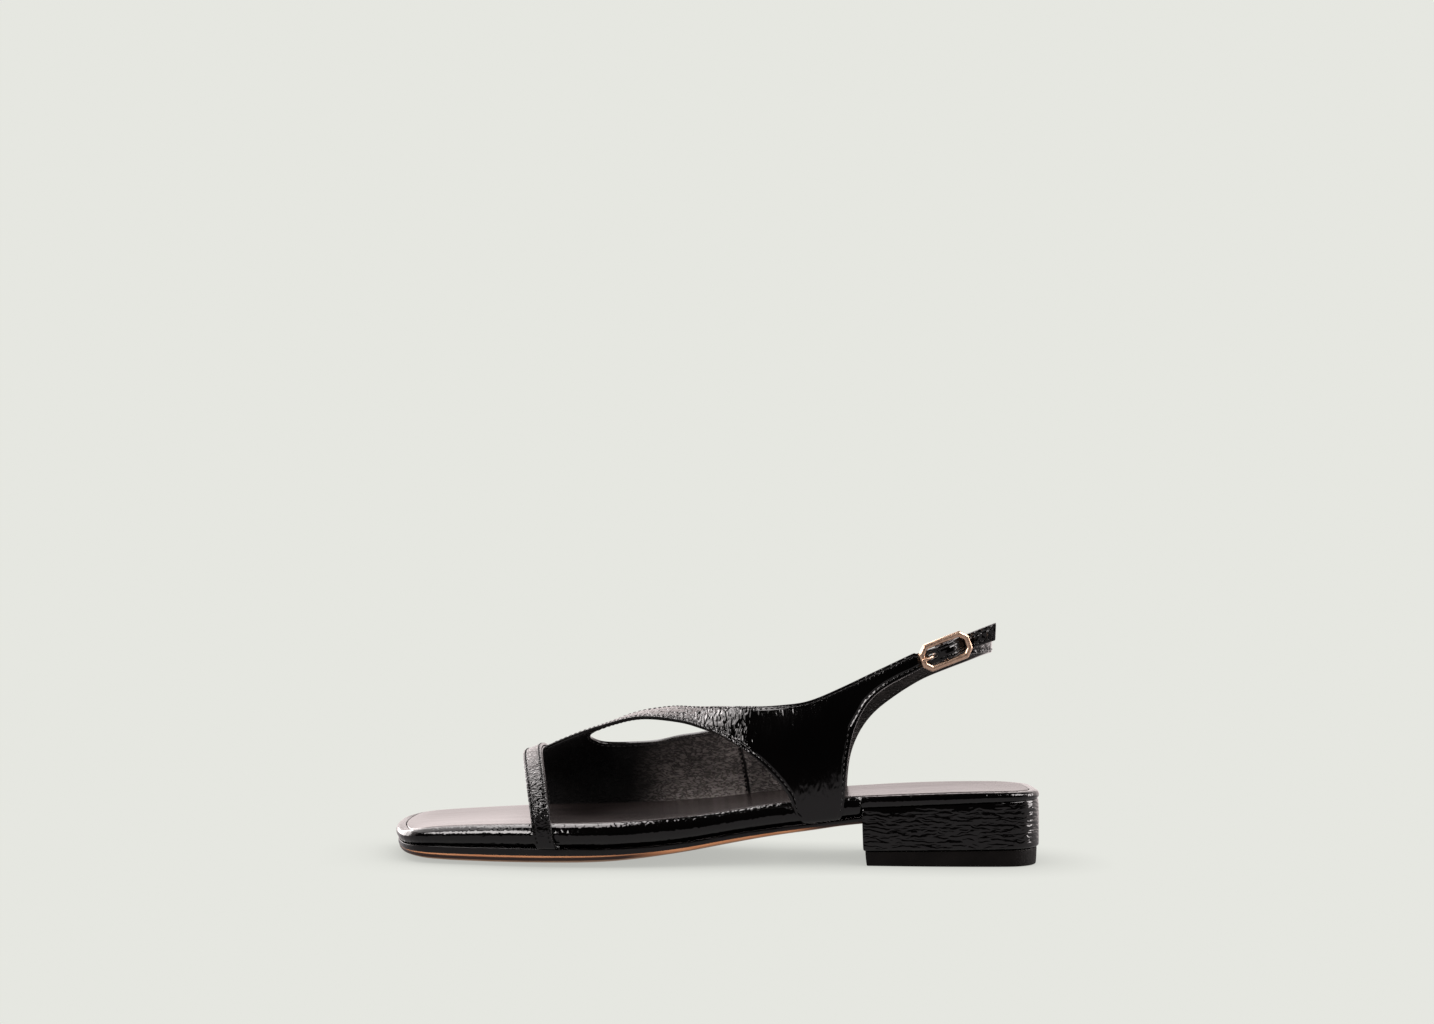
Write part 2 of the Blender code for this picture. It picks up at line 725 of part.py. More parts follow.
def strap_rise(s):
    """The strap's inner face: under both ends of the frame and over its centre bar."""
    reach = FRAME_LENGTH / 2 - FRAME_BAR - GAP
    rise = STRAP_UNDER
    if abs(s) < reach:
        rise += (GAP - STRAP_UNDER - STRAP_BOW) * math.cos(math.pi * s / (2 * reach)) ** 2
    flare = max(0.0, s - FRAME_LENGTH / 2 - FRAME_BAR)
    return rise + TIP_FLARE * flare**2


def strap_rows():
    """Rows across the lateral strap, from its root to its cut tip."""
    rows = [[wall_point(*place) for place in strip_end(STRAP_ENDS, -1)]]
    front = -FRAME_LENGTH / 2 - FRAME_BAR
    places = [front, front + STRAP_DIP, *STRAP_STATIONS, *np.linspace(-front, TIP_ALONG, 5)]
    for s in places:
        half = STRAP_HALF + (TIP_HALF - STRAP_HALF) * max(0.0, s + front) / (TIP_ALONG + front)
        lean = math.tan(BUCKLE_TILT) if s == TIP_ALONG else 0.0
        across = [half * (2 * share - 1) for share in STRIP_SPLITS]
        rows.append([at_buckle(s + lean * w, w, strap_rise(s)) for w in across])
    return rows


def sling_rows():
    """Rows across the sling, round the heel and folded round the buckle's centre bar."""
    root = [wall_point(*place) for place in strip_end(SLING_ENDS, 1)]
    lows = [root[0]] + [np.array((row.x, row.y, row.low)) for row in SLING]
    highs = [root[-1]] + [np.array((row.x, row.y, row.high)) for row in SLING]
    lows.append(at_buckle(0, -SLING_HALF, BAR_DROP - LOOP_RADIUS))
    highs.append(at_buckle(0, SLING_HALF, BAR_DROP - LOOP_RADIUS))
    rows = [root]
    for low, high in list(zip(smooth_path(lows), smooth_path(highs)))[1:]:
        rows.append([low + (high - low) * share for share in STRIP_SPLITS])
    folds = [(-LOOP_RADIUS * math.sin(turn), -LOOP_RADIUS * math.cos(turn))
             for turn in np.linspace(0, math.pi, 7)[1:]]
    folds += [(LOOP_RETURN * share, LOOP_RADIUS) for share in (0.5, 1.0)]
    for s, n in folds:
        rows.append([at_buckle(s, SLING_HALF * (2 * share - 1), BAR_DROP + n) for share in STRIP_SPLITS])
    return rows


def smooth_path(points, splits=3):
    """Points on a smooth curve through the given ones."""
    points = np.array(points)
    padded = np.vstack([2 * points[0] - points[1], points, 2 * points[-1] - points[-2]])
    out = []
    for before, start, end, after in zip(padded, padded[1:], padded[2:], padded[3:]):
        for u in np.linspace(0, 1, splits, endpoint=False):
            ease = u * u * (3 - 2 * u)
            bend = (end - before) / 2 * u * (1 - u) ** 2 - (after - start) / 2 * u * u * (1 - u)
            out.append(start * (1 - ease) + end * ease + bend)
    return out + [points[-1]]


def add_strip(points, faces, rows, flip, hole=None):
    """Adds a strap's rows as quads, leaving out the middle one at the prong's hole."""
    start = len(points)
    width = len(STRIP_SPLITS)
    for row in rows:
        points.extend(row)
    for i in range(len(rows) - 1):
        for j in range(width - 1):
            if (i, j) == hole:
                continue
            near = start + i * width + j
            quad = (near, near + width, near + width + 1, near + 1)
            faces.append(quad[::-1] if flip else quad)


def thicken(obj, thickness):
    wall = obj.modifiers.new("wall", "SOLIDIFY")
    wall.thickness = thickness * MM
    wall.offset = 1.0
    wall.use_quality_normals = True
    return obj


def make_upper():
    pattern, faces = pattern_mesh(upper_outline())
    points = [wall_point(x, t) for x, t in pattern]
    hole_row = 3 + STRAP_STATIONS.index(HOLE[0])
    add_strip(points, faces, strap_rows(), False, (hole_row, 1))
    add_strip(points, faces, sling_rows(), True)
    return thicken(add_object("upper", points, faces, "patent_black", closed=False), WALL)


def make_toe_band():
    """The band over the front strap: the upper's own surface, one layer further out."""
    lateral = np.array((-BAND_FOOT, -turned_in()[1], -ARCH_SHARE))
    places = list(lateral) + list(np.linspace(-ARCH_SHARE, ARCH_SHARE, 33))[1:-1] + list(-lateral[::-1])
    splits = (0.0, 0.5, 1.0)
    points, faces = [], []
    for t in places:
        front, rear = (band_line(x, t, t, 1)[0][0] for x in (BAND_FRONT, BAND_REAR))
        for share in splits:
            x = front + (rear - front) * share
            points.append(wall_point(x, t) + wall_normal(x, t) * (WALL + GAP))
    width = len(splits)
    for i in range(len(places) - 1):
        for j in range(width - 1):
            near = i * width + j
            faces.append((near, near + 1, near + width + 1, near + width))
    return thicken(add_object("toe_band", points, faces, "patent_black", closed=False), BAND_WALL)


# Buckle

def frame_corners(grow):
    """The ring's cut-corner outline, moved outwards by grow."""
    length, width = FRAME_LENGTH / 2 + grow, FRAME_WIDTH / 2 + grow
    cut = FRAME_CUT + grow * (2 - math.sqrt(2))
    quarter = [(length, width - cut), (length - cut, width)]
    half = quarter + [(-x, y) for x, y in quarter[::-1]]
    return half + [(-x, -y) for x, y in half]


def tube(name, path, radius, sides=8):
    """A round bar along a path in the buckle's own axes, with flat ends."""
    path = np.array(path, float)
    points, faces = [], []
    for i, place in enumerate(path):
        ahead = path[min(i + 1, len(path) - 1)] - place
        behind = place - path[max(i - 1, 0)]
        ahead, behind = (step / max(np.linalg.norm(step), 1e-9) for step in (ahead, behind))
        heading = (ahead + behind) / np.linalg.norm(ahead + behind)
        level = np.array((1.0, 0, 0)) if abs(path[0][0] - path[-1][0]) < 1e-6 else np.array((0, 1.0, 0))
        upright = np.cross(heading, level)
        stretch = 1 / max(abs(float(np.dot(heading, ahead if i == 0 else behind))), 0.5)
        for k in range(sides):
            turn = 2 * math.pi * (k + 0.5) / sides
            points.append(place + radius * (math.cos(turn) * level + math.sin(turn) * stretch * upright))
    for i in range(len(path) - 1):
        for k in range(sides):
            near, far = i * sides + k, i * sides + (k + 1) % sides
            faces.append((near, far, far + sides, near + sides))
    faces.append(tuple(range(sides)))
    faces.append(tuple(range((len(path) - 1) * sides, len(path) * sides)))
    return add_object(name, points, faces, "rose_metal")


def at_frame(obj):
    """Places an object made in the buckle's axes."""
    along, across, out = (Vector(axis) for axis in buckle_axes())
    turn = Matrix((along, across, out)).transposed().to_4x4()
    obj.matrix_world = Matrix.Translation(Vector(buckle_centre()) * MM) @ turn
    return obj


def make_buckle_frame():
    section = [(math.cos(turn), math.sin(turn)) for turn in np.radians(np.arange(22.5, 360, 45))]
    points, faces = [], []
    for grow, depth in section:
        points += [(x, y, depth * FRAME_DEPTH) for x, y in frame_corners(grow * FRAME_BAR)]
    corners = len(points) // len(section)
    for ring in range(len(section)):
        for k in range(corners):
            after = (ring + 1) % len(section)
            far = (k + 1) % corners
            faces.append((ring * corners + k, ring * corners + far,
                          after * corners + far, after * corners + k))
    frame = add_object("buckle_frame", points, faces, "rose_metal")
    side = FRAME_WIDTH / 2
    bar = tube("buckle_bar", [(0, -side, 0), (0, -side, BAR_DROP), (0, side, BAR_DROP), (0, side, 0)],
               BAR_RADIUS)
    bar.hide_render = True
    bar.display_type = "WIRE"
    join = frame.modifiers.new("centre_bar", "BOOLEAN")
    join.operation = "UNION"
    join.object = bar
    return [at_frame(frame), at_frame(bar)]


def make_buckle_prong():
    """The tongue: out through the strap's hole and down on the frame's front end."""
    path = [(bend.s, 0, bend.n) for bend in PRONG]
    return at_frame(tube("buckle_prong", path, PRONG_RADIUS))


def stand(parts):
    """Parents every piece to one empty and moves it so that the shoe stands centred on the origin."""
    bpy.context.view_layer.update()
    graph = bpy.context.evaluated_depsgraph_get()
    corners = []
    for part in parts:
        if not part.hide_render:
            ready = part.evaluated_get(graph)
            corners += [ready.matrix_world @ Vector(corner) for corner in ready.bound_box]
    low, high = np.min(corners, axis=0), np.max(corners, axis=0)
    sandal = bpy.data.objects.new("sandal", None)
    bpy.context.scene.collection.objects.link(sandal)
    for part in parts:
        place = part.matrix_world.copy()
        part.parent = sandal
        part.matrix_basis = place
    sandal.location = (-(low[0] + high[0]) / 2, -(low[1] + high[1]) / 2, -low[2])


def main():
    for obj in list(bpy.data.objects):
        bpy.data.objects.remove(obj, do_unlink=True)
    parts = [make_outsole(), make_footbed(), make_insole(), make_heel(), make_top_lift()]
    parts += [make_upper(), make_toe_band(), make_buckle_prong()]
    parts += make_buckle_frame()
    stand(parts)


main()
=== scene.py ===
# Flat slingback sandal, left shoe: the looks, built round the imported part
import math

import bmesh
import bpy
import numpy as np
from mathutils import Matrix, Vector
from mathutils.bvhtree import BVHTree
from mathutils.kdtree import KDTree


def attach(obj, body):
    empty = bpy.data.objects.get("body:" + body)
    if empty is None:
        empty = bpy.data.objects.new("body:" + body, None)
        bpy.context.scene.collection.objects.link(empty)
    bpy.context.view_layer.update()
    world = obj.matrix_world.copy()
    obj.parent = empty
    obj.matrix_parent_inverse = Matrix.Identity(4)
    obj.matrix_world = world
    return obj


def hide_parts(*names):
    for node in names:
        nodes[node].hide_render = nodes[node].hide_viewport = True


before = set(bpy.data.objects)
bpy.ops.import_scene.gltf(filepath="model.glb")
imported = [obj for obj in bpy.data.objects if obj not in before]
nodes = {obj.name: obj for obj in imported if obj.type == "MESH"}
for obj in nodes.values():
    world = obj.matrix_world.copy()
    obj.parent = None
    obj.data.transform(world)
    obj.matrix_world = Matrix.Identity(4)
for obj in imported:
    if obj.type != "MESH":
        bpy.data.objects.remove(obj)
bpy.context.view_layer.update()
scene = bpy.context.scene
mm = 0.001
rimStep = 0.3 * mm  # spacing of the points that stand for an edge line
print("sandal: frame loaded,", len(nodes), "nodes")


# Shader maths: a socket that adds nodes when Python works on it
class Wire:
    def __init__(self, tree, socket):
        self.tree = tree
        self.socket = socket

    def node(self, kind, settings=None, values=None, out=0):
        made = self.tree.nodes.new(kind)
        for name, value in (settings or {}).items():
            setattr(made, name, value)
        for name, value in (values or {}).items():
            if isinstance(value, Wire):
                self.tree.links.new(value.socket, made.inputs[name])
            else:
                made.inputs[name].default_value = value
        return Wire(self.tree, made.outputs[out])

    def maths(self, operation, first, second=0.0):
        return self.node("ShaderNodeMath", {"operation": operation}, {0: first, 1: second})

    def __add__(self, other):
        return self.maths("ADD", self, other)

    def __radd__(self, other):
        return self.maths("ADD", other, self)

    def __sub__(self, other):
        return self.maths("SUBTRACT", self, other)

    def __rsub__(self, other):
        return self.maths("SUBTRACT", other, self)

    def __mul__(self, other):
        return self.maths("MULTIPLY", self, other)

    def __rmul__(self, other):
        return self.maths("MULTIPLY", other, self)

    def __abs__(self):
        return self.maths("ABSOLUTE", self)

    # one axis of a place: 0 along the shoe, 1 across it, 2 up
    def axis(self, which):
        return self.node("ShaderNodeSeparateXYZ", None, {0: self}, which)

    # a number kept on the mesh's points
    def stored(self, name):
        return self.node("ShaderNodeAttribute", {"attribute_name": name}, None, 2)

    # smooth step from low to high
    def step(self, low, high):
        return self.node("ShaderNodeMapRange", {"interpolation_type": "SMOOTHSTEP"},
                         {"Value": self, "From Min": low, "From Max": high})

    def stretched(self, scale, turn=(0, 0, 0)):
        return self.node("ShaderNodeMapping", None, {"Vector": self, "Scale": scale, "Rotation": turn})

    def noise(self, scale, detail=2.0, out=0):
        return self.node("ShaderNodeTexNoise", None,
                         {"Vector": self, "Scale": scale, "Detail": detail}, out)

    # small cells, by the distance from their edges
    def cells(self, scale):
        return self.node("ShaderNodeTexVoronoi", {"feature": "DISTANCE_TO_EDGE"},
                         {"Vector": self, "Scale": scale})

    # moved about by a noise of the given pitch and reach
    def warped(self, scale, reach):
        drift = self.noise(scale, 2.0, out=1)
        return self.node("ShaderNodeVectorMath", {"operation": "MULTIPLY_ADD"},
                         {0: drift, 1: (reach, reach, reach), 2: self})

    def blend(self, first, second):
        return self.node("ShaderNodeMix", {"data_type": "RGBA"},
                         {"Factor": self, "A": first, "B": second}, 2)

    def bump(self, depth):
        return self.node("ShaderNodeBump", None, {"Height": self, "Distance": depth, "Strength": 1.0})


def newMaterial(name, constants):
    material = bpy.data.materials.new(name)
    material.use_nodes = True
    tree = material.node_tree
    shader = tree.nodes["Principled BSDF"]
    for socket, value in constants.items():
        shader.inputs[socket].default_value = value
    place = Wire(tree, tree.nodes.new("ShaderNodeTexCoord").outputs["Object"])
    return material, place, shader


def plug(wire, shader, socket):
    wire.tree.links.new(wire.socket, shader.inputs[socket])


def rgb(r, g, b):
    return (r, g, b, 1.0)


# Finishes
crinkleLooks = {
    "upper": {"pull": (1.0, 0.34, 0.3), "pitch": 500, "warp": 0.0018, "depth": 0.0006, "sewn": 1.5,
              "taut": (0.004, 0.019), "tip": (0.0965, 0.0985),
              "outer": (-0.012, 0.008), "inner": (0.012, 0.026)},
    "band": {"pull": (0.5, 1.0, 1.0), "pitch": 640, "warp": 0.0018, "depth": 0.00045, "sewn": 1.2,
             "calm": (0.015, 0.023)},
    "footbed": {"pull": (1.0, 0.8, 0.6), "pitch": 400, "warp": 0.002, "depth": 0.00008},
    "heel": {"pull": (0.22, 0.22, 1.0), "pitch": 520, "warp": 0.003, "depth": 0.00015},
}


def patentLeather(name, look):
    material, place, shader = newMaterial(name, {"IOR": 1.5})
    drawn = place.warped(140, look["warp"]).stretched(look["pull"])
    folds = abs(drawn.noise(look["pitch"], 1.0) - 0.5).step(0.0, 0.2)  # round folds, sharp valleys
    fine = drawn.noise(look["pitch"] * 1.7, 2.0)
    height = folds * 0.8 + fine * 0.7 + place.noise(70, 1.0) * 3
    if "taut" in look:
        taut, tip = place.axis(0).step(*look["taut"]), place.axis(0).step(*look["tip"])
        outside = 1 - place.axis(1).step(*look["outer"])  # pulled flat on the outer side most
        height = height * (1 - taut * (outside * 0.3 + 0.65) + tip * outside)
        height = height * (1 - place.axis(1).step(*look["inner"]) * 0.5)  # calmer down the inner side
    if "calm" in look:
        height = height * (place.axis(2).step(*look["calm"]) * 0.9 + 0.1)  # smooth where it turns under
    if "sewn" in look:
        height = height - (1 - abs(place.stored("edgeDistance") - look["sewn"]).step(0.0, 0.7)) * 0.3
    plug(height.bump(look["depth"]), shader, "Normal")
    plug(place.noise(220, 3.0) * 0.06 + 0.06, shader, "Roughness")
    tone = place.noise(30, 2.0).step(0.3, 0.7)
    plug(tone.blend(rgb(0.0006, 0.0005, 0.0005), rgb(0.0011, 0.0009, 0.0009)), shader, "Base Color")
    return material


# painted shade and painted sheen on the lining, the seam and the smoother sling, in metres along the shoe
# and up
liningLook = {"paintedShade": (-0.036, -0.002), "dark": (0.028, 0.056), "seam": (0.013, 0.016),
              "paintedSheen": (-0.024, 0.01), "paintedSheenUp": (0.02, 0.036), "sling": (0.05, 0.066)}


def liningLeather():
    look = liningLook
    material, place, shader = newMaterial("liningLeather", {"IOR": 1.45, "Specular IOR Level": 0.2})
    along, up = place.axis(0), place.axis(2)
    drawn = place.warped(60, 0.008).stretched((0.7, 1.0, 1.3), (0, -0.4, 0))
    cloudy = drawn.noise(90, 3.0).step(0.3, 0.7)
    # painted shade: the lining goes near black towards the toe under the vamp and high up under the straps
    paintedShade = along.step(*look["paintedShade"]) * (1 - up.step(*look["dark"]) * 0.9)
    paintedShade = paintedShade * (1 - along.step(*look["seam"]) * 0.45)  # darker behind the seam
    slant = place.warped(110, 0.005).stretched((0.6, 1.0, 1.8), (0, -0.4, 0))
    wrinkles = abs(slant.noise(640, 3.0) - 0.5).step(0.0, 0.12)
    grain = place.warped(500, 0.0008).cells(1300).step(0.0, 0.2)
    low = along.step(*look["paintedSheen"]) * (1 - up.step(*look["paintedSheenUp"]))  # painted sheen: lighter low down on the wall, towards the back
    # cloudy tone and darker wrinkle valleys times the painted shade and painted sheen: near black where
    # shaded, pale where lit
    wearAndPaintedLight = paintedShade * (cloudy * 0.4 + 0.6) * (wrinkles * 0.75 + 0.25) * (low * 0.55 + 1)
    plug(wearAndPaintedLight.blend(rgb(0.0012, 0.001, 0.0009), rgb(0.42, 0.375, 0.355)), shader, "Base Color")
    sling = along.step(*look["sling"])  # smoother round the heel
    plug(((wrinkles + grain * 0.3) * (1 - sling * 0.9)).bump(0.0007), shader, "Normal")
    plug(0.72 - wearAndPaintedLight * 0.32, shader, "Roughness")
    return material


sockLook = {"toe": (-0.085, -0.06), "seat": (0.02, 0.07)}


def glossySock():
    material, place, shader = newMaterial("glossySock", {"IOR": 1.8, "Specular Tint": rgb(1.0, 0.93, 0.92)})
    streaks = place.stretched((0.16, 1.0, 1.0)).noise(170, 3.0)
    plug(streaks.step(0.3, 0.7).blend(rgb(0.009, 0.0066, 0.0064), rgb(0.015, 0.011, 0.0105)),
         shader, "Base Color")
    drawn = place.warped(60, 0.004).stretched((0.12, 0.7, 1.0))
    creases = abs(drawn.noise(400, 2.0) - 0.5).step(0.0, 0.16)
    seat = place.axis(0).step(*sockLook["seat"])  # creased where the heel sits
    plug((streaks + place.noise(700, 2.0) * 0.12 + creases * seat * 0.55).bump(0.00007), shader, "Normal")
    wearAndPaintedLight = place.axis(0).step(*sockLook["toe"])  # shiniest in front of the toe band
    plug(streaks * 0.1 + wearAndPaintedLight * 0.1 + 0.1, shader, "Roughness")
    return material


# painted shade band in millimetres from the underside, waist in metres along the shoe
edgeLook = {"paintedEdgeShade": (1.1, 1.6), "waistFront": (-0.034, -0.014), "waistRear": (0.028, 0.042)}


def cutSoleEdge():
    material, place, shader = newMaterial("cutSoleEdge", {"IOR": 1.45})
    layers = place.stretched((0.05, 0.05, 1.0)).noise(900, 3.0)
    tan = layers.step(0.25, 0.75).blend(rgb(0.55, 0.22, 0.095), rgb(0.70, 0.32, 0.15))
    along = place.axis(0)
    waist = along.step(*edgeLook["waistFront"]) * (1 - along.step(*edgeLook["waistRear"]))
    lower = 1 - place.stored("fromUnderside").step(*edgeLook["paintedEdgeShade"])
    paintedEdgeShade = lower * (1 - waist)  # painted shade along its lower edge, but for the waist
    plug(paintedEdgeShade.blend(tan, rgb(0.022, 0.008, 0.005)), shader, "Base Color")
    plug(layers.bump(0.00005), shader, "Normal")
    plug(layers * 0.15 + 0.36, shader, "Roughness")
    return material


def soleUnderside():
    material, place, shader = newMaterial("soleUnderside", {"IOR": 1.45})
    scuffs = place.stretched((0.3, 1.0, 1.0), (0, 0, 0.35)).noise(420, 5.0).step(0.52, 0.66)
    cloudy = place.noise(45, 4.0).step(0.3, 0.7)
    leather = cloudy.blend(rgb(0.30, 0.135, 0.062), rgb(0.38, 0.18, 0.085))
    plug((scuffs * 0.35).blend(leather, rgb(0.20, 0.10, 0.055)), shader, "Base Color")
    pores = place.warped(500, 0.001).cells(1500).step(0.0, 0.25)
    plug((pores * 0.5 - scuffs * 0.6).bump(0.00006), shader, "Normal")
    plug(scuffs * 0.2 + 0.42, shader, "Roughness")
    return material


def inkedEdge():
    material, place, shader = newMaterial("inkedEdge", {"IOR": 1.45})
    wobble = place.stretched((0.3, 0.3, 1.0)).noise(700, 3.0)
    plug(wobble.step(0.35, 0.75).blend(rgb(0.0012, 0.001, 0.001), rgb(0.003, 0.0025, 0.0023)),
         shader, "Base Color")
    plug(wobble.bump(0.00005), shader, "Normal")
    plug(wobble * 0.16 + 0.1, shader, "Roughness")
    return material


def liftRubber():
    material, place, shader = newMaterial("liftRubber", {"IOR": 1.4, "Specular IOR Level": 0.15})
    grain = place.noise(1600, 3.0)
    plug(place.noise(90, 3.0).step(0.3, 0.7).blend(rgb(0.0024, 0.0018, 0.0016), rgb(0.005, 0.004, 0.0036)),
         shader, "Base Color")
    plug(grain.bump(0.00006), shader, "Normal")
    plug(grain * 0.2 + 0.42, shader, "Roughness")
    return material


def roseMetal():
    material, place, shader = newMaterial("roseMetal", {"Metallic": 1.0})
    wear = place.noise(800, 4.0)
    brushed = place.stretched((1.0, 0.2, 0.2)).noise(3000, 2.0)
    plug(wear.step(0.3, 0.75).blend(rgb(0.70, 0.47, 0.335), rgb(0.80, 0.57, 0.42)), shader, "Base Color")
    plug(brushed.bump(0.000003), shader, "Normal")
    plug(wear * 0.14 + 0.28, shader, "Roughness")
    return material


def blackThread(name, gloss):
    material, place, shader = newMaterial(name, {"IOR": 1.45, "Specular IOR Level": gloss})
    turned = place.stretched((1.0, 1.0, 1.0), (0.6, 0.6, 0.6))
    twist = place.node("ShaderNodeTexWave", {"wave_type": "BANDS"},
                       {"Vector": turned, "Scale": 900, "Distortion": 2.0}, 1)
    plug(twist.blend(rgb(0.003, 0.003, 0.003), rgb(0.009, 0.0085, 0.008)), shader, "Base Color")
    plug(twist.bump(0.00005), shader, "Normal")
    plug(twist * 0.15 + 0.38, shader, "Roughness")
    return material


patentUpper = patentLeather("patentUpper", crinkleLooks["upper"])
patentBand = patentLeather("patentBand", crinkleLooks["band"])
patentFootbed = patentLeather("patentFootbed", crinkleLooks["footbed"])
patentHeel = patentLeather("patentHeel", crinkleLooks["heel"])
lining, sock = liningLeather(), glossySock()
thread, dullThread = blackThread("waxedThread", 0.5), blackThread("dullThread", 0.06)
soleEdge, soleFace, edgeInk = cutSoleEdge(), soleUnderside(), inkedEdge()
rubber, rose = liftRubber(), roseMetal()
print("sandal: finishes mixed,", len(bpy.data.materials), "materials")


# Working on a copy of a node
def pick(piece):
    if bpy.context.object and bpy.context.object.mode != "OBJECT":
        bpy.ops.object.mode_set(mode="OBJECT")
    bpy.ops.object.select_all(action="DESELECT")
    piece.select_set(True)
    bpy.context.view_layer.objects.active = piece


def copyNode(node, name, finishes):
    piece = bpy.data.objects.new(name, nodes[node].data.copy())
    scene.collection.objects.link(piece)
    piece.data.materials.clear()
    for finish in finishes:
        piece.data.materials.append(finish)
    pick(piece)
    bpy.ops.object.mode_set(mode="EDIT")
    bpy.ops.mesh.select_all(action="SELECT")
    bpy.ops.mesh.customdata_custom_splitnormals_clear()
    bpy.ops.mesh.remove_doubles(threshold=0.002 * mm)
    bpy.ops.mesh.tris_convert_to_quads(face_threshold=math.radians(25), shape_threshold=math.radians(70))
    bpy.ops.object.mode_set(mode="OBJECT")
    return piece


# Moves the chosen points of a copy, to close a gap that stands for glue
def nudge(piece, chosen, move):
    for vertex in piece.data.vertices:
        if chosen(vertex.co / mm):
            vertex.co += Vector(move) * mm


# Groups of faces that meet along soft edges, the largest first
def patches(piece, limit):
    shape = bmesh.new()
    shape.from_mesh(piece.data)
    shape.faces.ensure_lookup_table()
    left = set(range(len(shape.faces)))
    found = []
    while left:
        todo = [left.pop()]
        group = []
        while todo:
            face = shape.faces[todo.pop()]
            group.append(face.index)
            for edge in face.edges:
                if edge.calc_face_angle(math.pi) < math.radians(limit):
                    for other in edge.link_faces:
                        if other.index in left:
                            left.remove(other.index)
                            todo.append(other.index)
        area = sum(shape.faces[i].calc_area() for i in group)
        centre = sum((shape.faces[i].calc_center_median() * shape.faces[i].calc_area() for i in group),
                     Vector()) / area
        normal = sum((shape.faces[i].normal * shape.faces[i].calc_area() for i in group), Vector())
        found.append({"faces": group, "area": area, "centre": centre, "normal": normal / area})
    shape.free()
    return sorted(found, key=lambda patch: -patch["area"])


def paint(piece, patch, finish):
    for face in patch["faces"]:
        piece.data.polygons[face].material_index = finish


# The closed lines round a group of faces
def outlines(piece, patch):
    shape = bmesh.new()
    shape.from_mesh(piece.data)
    shape.faces.ensure_lookup_table()
    inside = set(patch["faces"])
    after = {}
    for i in patch["faces"]:
        for loop in shape.faces[i].loops:
            if not all(face.index in inside for face in loop.edge.link_faces):
                after[loop.vert.index] = loop.link_loop_next.vert.index
    lines = []
    while after:
        start = next(iter(after))
        line = [start]
        while after.get(line[-1]) is not None and after[line[-1]] != start:
            line.append(after.pop(line[-1]))
        after.pop(line[-1], None)
        lines.append(np.array([piece.data.vertices[i].co for i in line]))
    shape.free()
    return sorted(lines, key=lambda line: -len(line))


def applyAll(piece):
    pick(piece)
    for modifier in list(piece.modifiers):
        bpy.ops.object.modifier_apply(modifier=modifier.name)


# Rounds the edges and smooths the faces of a piece
def dress(piece, edge, limit=38, levels=2):
    rounded = piece.modifiers.new("roundedEdge", "BEVEL")
    rounded.width = edge * mm
    rounded.segments = 2
    rounded.limit_method = "ANGLE"
    rounded.angle_limit = math.radians(limit)
    rounded.use_clamp_overlap = False
    if levels:
        skin = piece.modifiers.new("skin", "SUBSURF")
        skin.levels = levels
        skin.render_levels = levels
    applyAll(piece)
    bpy.ops.object.shade_smooth()


# Even points along a closed line
def dense(line, pitch):
    closed = np.vstack([line, line[:1]])
    along = np.concatenate([[0.0], np.cumsum(np.linalg.norm(np.diff(closed, axis=0), axis=1))])
    count = max(3, int(round(along[-1] / pitch)))
    marks = np.linspace(0, along[-1], count, endpoint=False)
    return np.stack([np.interp(marks, along, closed[:, k]) for k in range(3)], axis=1)


def treeOf(points):
    tree = KDTree(len(points))
    for i, point in enumerate(points):
        tree.insert(point, i)
    tree.balance()
    return tree


# Keeps each point's distance from some lines, in millimetres, where a finish reads it
def storeDistance(piece, name, lines, keep=None):
    marks = [point for line in lines for point in dense(line, rimStep)]
    tree = treeOf([point for point in marks if keep is None or keep(Vector(point))])
    kept = piece.data.attributes.new(name, "FLOAT", "POINT")
    kept.data.foreach_set("value", [tree.find(vertex.co)[2] / mm for vertex in piece.data.vertices])


# Hangs a piece on the root body and hides the node it replaces, if any
def handOver(piece, node):
    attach(piece, "root")
    if node:
        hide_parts(node)


# Footbed and sock
bedShape = {"edge": 0.25, "sockEdge": 0.2, "breast": 57.3, "skew": 0.07, "join": (1.6, 0, 0),
            "step": 0.5, "stepTop": 20}


# how far a point lies behind the heel's slanted front
def fromBreast(at):
    return at.x - bedShape["skew"] * at.y - bedShape["breast"]


footbed = copyNode("footbed", "footbedWrap", [patentFootbed])
nudge(footbed, lambda at: abs(fromBreast(at)) < bedShape["step"] and at.z < bedShape["stepTop"],
      bedShape["join"])
dress(footbed, bedShape["edge"])
handOver(footbed, "footbed")
insole = copyNode("insole", "sockLining", [sock])
dress(insole, bedShape["sockEdge"])
handOver(insole, "insole")
print("sandal: footbed and sock dressed")

# Leather sole: inked strip over the step, tan cut edge, worn underside
soleShape = {"edge": 0.12, "sharp": 28, "crease": 30, "underside": -0.9, "cutEdge": (-0.5, -0.1), "end": -2}
outsole = copyNode("outsole", "leatherSole", [soleEdge, soleFace, edgeInk])
nudge(outsole, lambda at: fromBreast(at) > soleShape["end"], bedShape["join"])
for patch in patches(outsole, soleShape["crease"]):
    down = patch["normal"].z
    if down < soleShape["underside"]:
        paint(outsole, patch, 1)
        underLines = outlines(outsole, patch)
    elif not soleShape["cutEdge"][0] < down < soleShape["cutEdge"][1]:
        paint(outsole, patch, 2)
dress(outsole, soleShape["edge"], soleShape["sharp"])
storeDistance(outsole, "fromUnderside", underLines)
handOver(outsole, "outsole")

